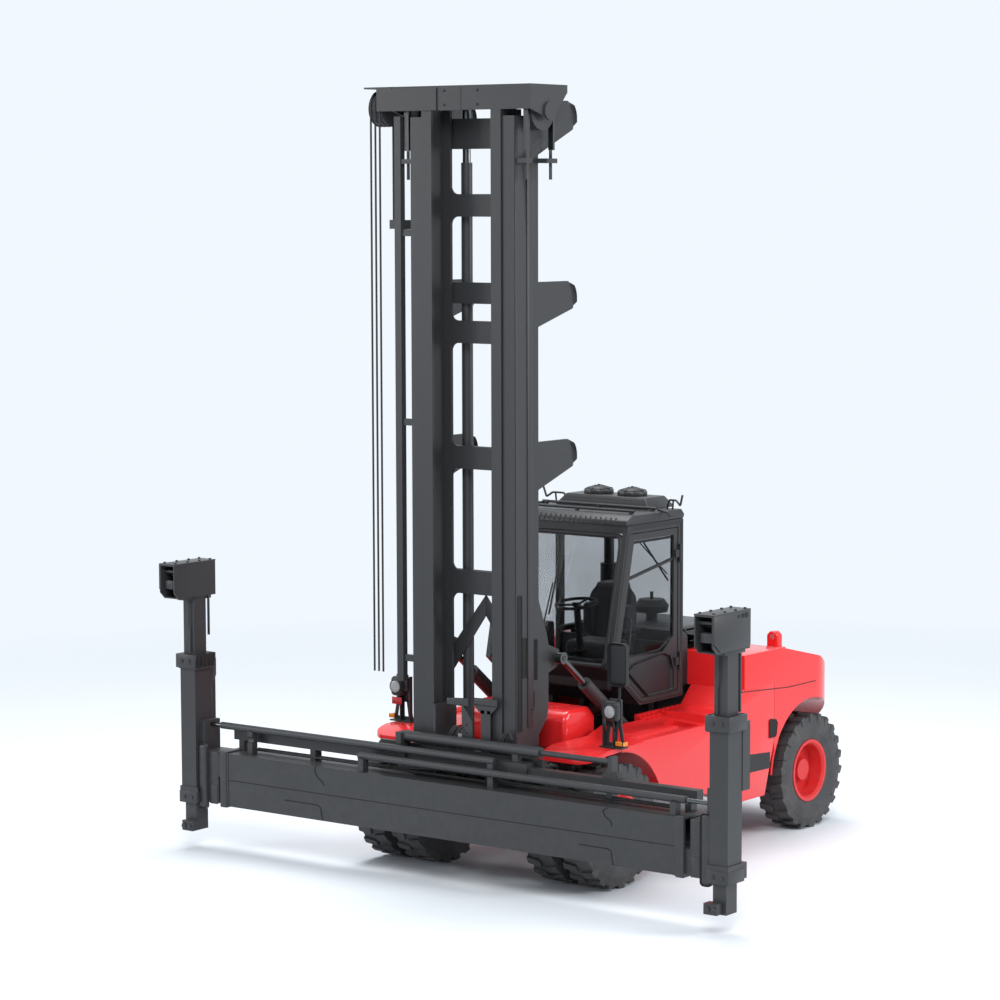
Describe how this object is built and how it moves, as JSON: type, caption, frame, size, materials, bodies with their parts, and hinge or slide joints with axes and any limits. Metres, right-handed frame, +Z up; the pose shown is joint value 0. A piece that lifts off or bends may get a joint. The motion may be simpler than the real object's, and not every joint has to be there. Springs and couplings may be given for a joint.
{
  "type": "empty container handler",
  "caption": "Red empty container handler with a two-stage mast and a telescopic side-lift spreader.",
  "frame": {"origin": "on the ground, under the middle of the length and width", "axes": "+X towards the machine's left, -Y towards its front (mast and spreader), +Z up"},
  "size_m": [6.044, 5.06, 6.955],
  "materials": {
    "body_paint": "glossy red with fine orange peel",
    "frame_paint": "satin dark grey",
    "mast_paint": "satin dark grey",
    "spreader_paint": "satin dark grey",
    "wheel_paint": "glossy red",
    "tyre_rubber": "matte",
    "chrome_rod": "polished",
    "bare_steel": "turned",
    "cast_weight": "painted dark grey",
    "cab_glass": "clear with a light green tint",
    "mirror_shell": "matte",
    "seat_fabric": "woven",
    "hose_rubber": "matte"
  },
  "bodies": {
    "root": {"chassis": "frame_paint", "front_axle": "frame_paint", "rear_axle": "frame_paint", "side_body_left": "body_paint", "side_body_right": "body_paint", "counterweight": "body_paint", "cowl": "frame_paint", "exhaust": "bare_steel", "engine": "cast_weight", "cab_frame": "frame_paint", "cab_roof": "frame_paint", "cab_glass": "cab_glass", "seat": "seat_fabric", "steering_column": "frame_paint", "lamps": "frame_paint", "mirror": "mirror_shell"},
    "hood": {"hood": "body_paint", "precleaner": "mirror_shell"},
    "door": {"door_frame": "frame_paint", "door_glass": "cab_glass"},
    "mast": {"mast_outer": "mast_paint", "lift_barrels": "mast_paint", "hose_guide": "mast_paint"},
    "inner_mast": {"mast_inner": "mast_paint", "lift_rods": "chrome_rod", "hose_arm": "mast_paint", "hose_drum": "mast_paint", "chain_pulleys": "mast_paint", "chains": "bare_steel", "hose_1": "hose_rubber", "hose_2": "hose_rubber", "hose_3": "hose_rubber"},
    "carriage": {"carriage": "spreader_paint", "shift_barrel": "spreader_paint"},
    "spreader": {"main_beam": "spreader_paint", "spreader_cylinders": "spreader_paint"},
    "beam_left": {"beam_left": "spreader_paint", "extend_rod_left": "chrome_rod"},
    "beam_right": {"beam_right": "spreader_paint", "extend_rod_right": "chrome_rod"},
    "head_left": {"head_left": "spreader_paint"},
    "head_right": {"head_right": "spreader_paint"},
    "tilt_barrel_left": {"tilt_barrel_left": "mast_paint"},
    "tilt_barrel_right": {"tilt_barrel_right": "mast_paint"},
    "tilt_rod_left": {"tilt_rod_left": "chrome_rod"},
    "tilt_rod_right": {"tilt_rod_right": "chrome_rod"},
    "front_wheel_left": {"front_tyres_left": "tyre_rubber", "front_rims_left": "wheel_paint"},
    "front_wheel_right": {"front_tyres_right": "tyre_rubber", "front_rims_right": "wheel_paint"},
    "knuckle_left": {"knuckle_left": "frame_paint"},
    "knuckle_right": {"knuckle_right": "frame_paint"},
    "rear_wheel_left": {"rear_tyre_left": "tyre_rubber", "rear_rim_left": "wheel_paint"},
    "rear_wheel_right": {"rear_tyre_right": "tyre_rubber", "rear_rim_right": "wheel_paint"}
  },
  "joints": [
    {"name": "mast_tilt", "type": "hinge", "parent": "root", "child": "mast", "pos_m": [0, -1.355, 0.8], "axis": [1, 0, 0], "range_deg": [-5, 3]},
    {"name": "mast_lift", "type": "slide", "parent": "mast", "child": "inner_mast", "axis": [0, 0, 1], "range_m": [0, 5]},
    {"name": "carriage_lift", "type": "slide", "parent": "inner_mast", "child": "carriage", "axis": [0, 0, 1], "range_m": [0, 5]},
    {"name": "side_shift", "type": "slide", "parent": "carriage", "child": "spreader", "axis": [1, 0, 0], "range_m": [-0.6, 0.6]},
    {"name": "extend_left", "type": "slide", "parent": "spreader", "child": "beam_left", "axis": [1, 0, 0], "range_m": [0, 3.066]},
    {"name": "head_lift_left", "type": "slide", "parent": "beam_left", "child": "head_left", "axis": [0, 0, 1], "range_m": [0, 0.305]},
    {"name": "tilt_barrel_swing_left", "type": "hinge", "parent": "root", "child": "tilt_barrel_left", "pos_m": [0.63, -0.315, 1.2], "axis": [1, 0, 0], "range_deg": [-2.82, 1.73]},
    {"name": "tilt_rod_stroke_left", "type": "slide", "parent": "tilt_barrel_left", "child": "tilt_rod_left", "axis": [0, -0.7889, 0.6145], "range_m": [-0.0853, 0.052]},
    {"name": "front_wheel_spin_left", "type": "hinge", "parent": "root", "child": "front_wheel_left", "pos_m": [0.94, -1.315, 0.55], "axis": [1, 0, 0], "continuous": true},
    {"name": "steer_left", "type": "hinge", "parent": "root", "child": "knuckle_left", "pos_m": [0.93, 1.911, 0.55], "axis": [0, 0, 1], "range_deg": [-65, 65]},
    {"name": "rear_wheel_spin_left", "type": "hinge", "parent": "knuckle_left", "child": "rear_wheel_left", "pos_m": [1.1, 1.911, 0.55], "axis": [1, 0, 0], "continuous": true},
    {"name": "extend_right", "type": "slide", "parent": "spreader", "child": "beam_right", "axis": [-1, 0, 0], "range_m": [0, 3.066]},
    {"name": "head_lift_right", "type": "slide", "parent": "beam_right", "child": "head_right", "axis": [0, 0, 1], "range_m": [0, 0.305]},
    {"name": "tilt_barrel_swing_right", "type": "hinge", "parent": "root", "child": "tilt_barrel_right", "pos_m": [-0.63, -0.315, 1.2], "axis": [1, 0, 0], "range_deg": [-2.82, 1.73]},
    {"name": "tilt_rod_stroke_right", "type": "slide", "parent": "tilt_barrel_right", "child": "tilt_rod_right", "axis": [0, -0.7889, 0.6145], "range_m": [-0.0853, 0.052]},
    {"name": "front_wheel_spin_right", "type": "hinge", "parent": "root", "child": "front_wheel_right", "pos_m": [-0.94, -1.315, 0.55], "axis": [1, 0, 0], "continuous": true},
    {"name": "steer_right", "type": "hinge", "parent": "root", "child": "knuckle_right", "pos_m": [-0.93, 1.911, 0.55], "axis": [0, 0, 1], "range_deg": [-65, 65]},
    {"name": "rear_wheel_spin_right", "type": "hinge", "parent": "knuckle_right", "child": "rear_wheel_right", "pos_m": [-1.1, 1.911, 0.55], "axis": [1, 0, 0], "continuous": true},
    {"name": "door_swing", "type": "hinge", "parent": "root", "child": "door", "pos_m": [0.714, 0.437, 2.23], "axis": [0, 0, 1], "range_deg": [0, 85]},
    {"name": "hood_lift", "type": "hinge", "parent": "root", "child": "hood", "pos_m": [0, 1.747, 1.74], "axis": [-1, 0, 0], "range_deg": [0, 55]}
  ],
  "couplings": [
    {"joint": "carriage_lift", "follows": "mast_lift", "ratio": 1},
    {"joint": "steer_right", "follows": "steer_left", "ratio": 1},
    {"joint": "tilt_barrel_swing_left", "follows": "mast_tilt", "ratio": 0.54434},
    {"joint": "tilt_rod_stroke_left", "follows": "mast_tilt", "m_per_rad": 0.95464},
    {"joint": "tilt_barrel_swing_right", "follows": "mast_tilt", "ratio": 0.54434},
    {"joint": "tilt_rod_stroke_right", "follows": "mast_tilt", "m_per_rad": 0.95464}
  ]
}
